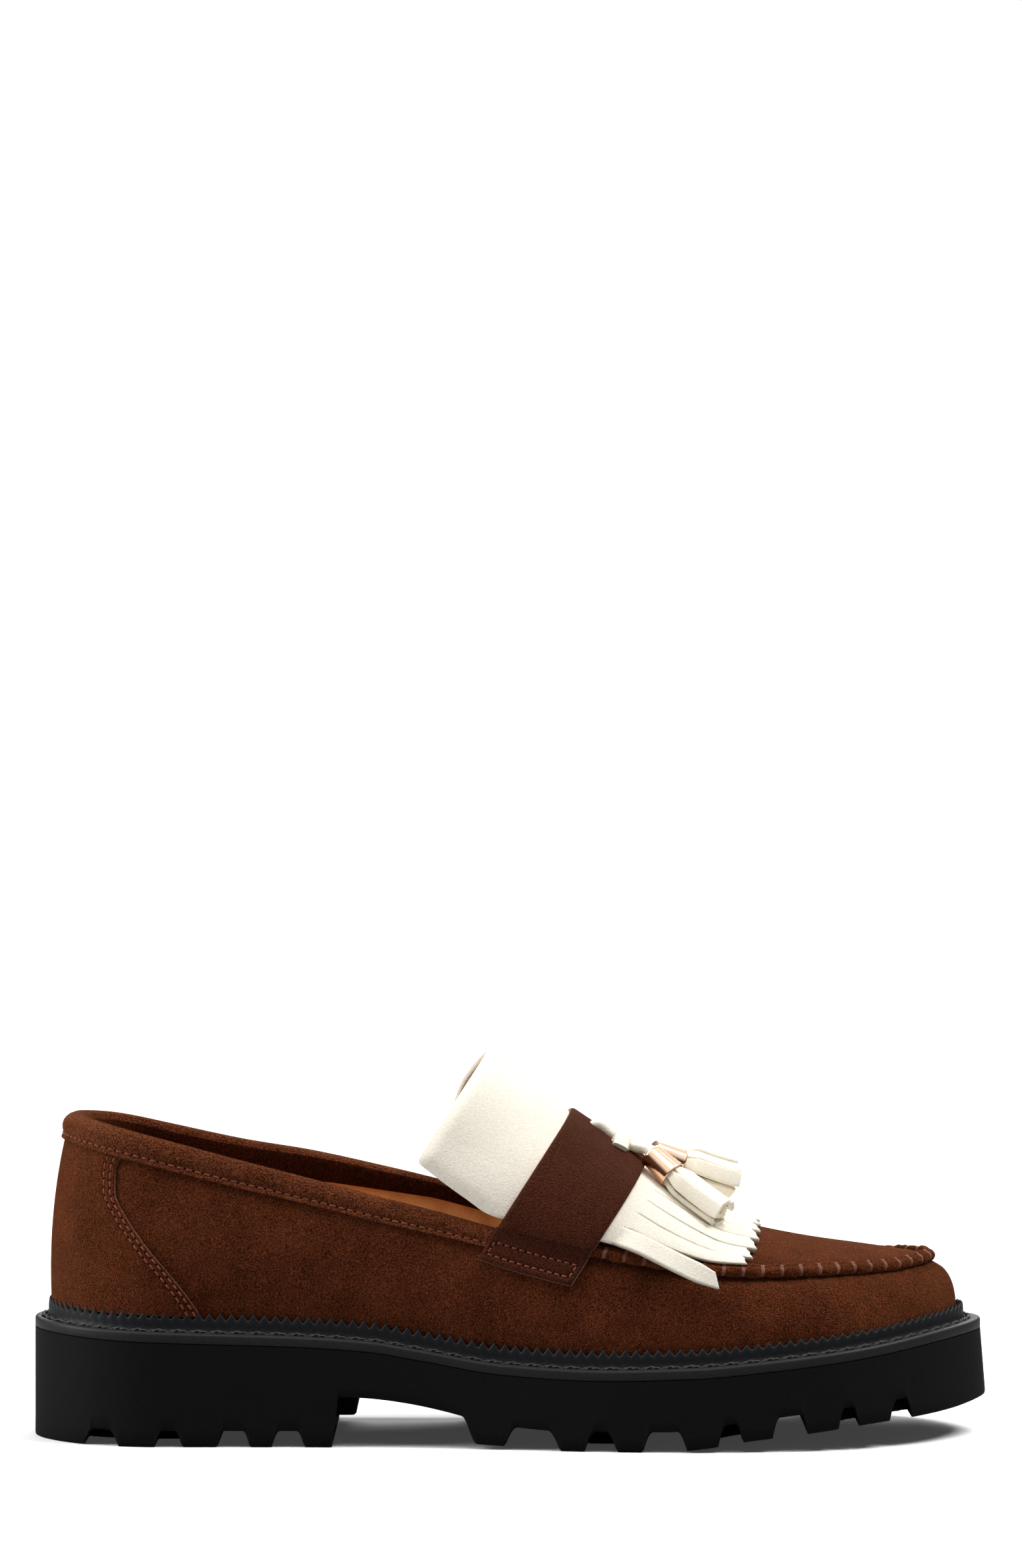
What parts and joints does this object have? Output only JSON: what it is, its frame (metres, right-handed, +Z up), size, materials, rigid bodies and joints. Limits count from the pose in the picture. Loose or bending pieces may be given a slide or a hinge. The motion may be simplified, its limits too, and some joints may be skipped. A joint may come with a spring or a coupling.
{
  "type": "tassel loafer",
  "caption": "Chunky slip-on loafer for the right foot: suede upper with an apron seam, a strap over a fringed kiltie, two tassels with metal bells, and a lugged platform sole.",
  "frame": {"origin": "on the floor under the middle of the shoe's bounding box", "axes": "+X to the toe, +Y to the medial (inner) side, +Z up from the floor"},
  "size_m": [0.272, 0.096, 0.107],
  "materials": {
    "black_rubber": "matte black moulded sole",
    "grey_rubber": "satin dark grey band",
    "welt_rubber": "satin black toothed strip",
    "brown_suede": "brown suede",
    "dark_suede": "dark brown suede",
    "cream_suede": "cream suede",
    "tan_leather": "smooth tan lining leather",
    "rose_gold": "polished rose gold plating"
  },
  "bodies": {
    "root": {"outsole": "black_rubber", "midsole": "grey_rubber", "storm_welt": "welt_rubber", "upper": "brown_suede", "heel_counter": "brown_suede", "insole": "tan_leather", "kiltie": "cream_suede", "strap": "dark_suede", "tassel_tie": "cream_suede", "tassel_bell_lateral": "rose_gold", "tassel_bell_medial": "rose_gold", "tassel_fringe_lateral": "cream_suede", "tassel_fringe_medial": "cream_suede"}
  },
  "joints": []
}
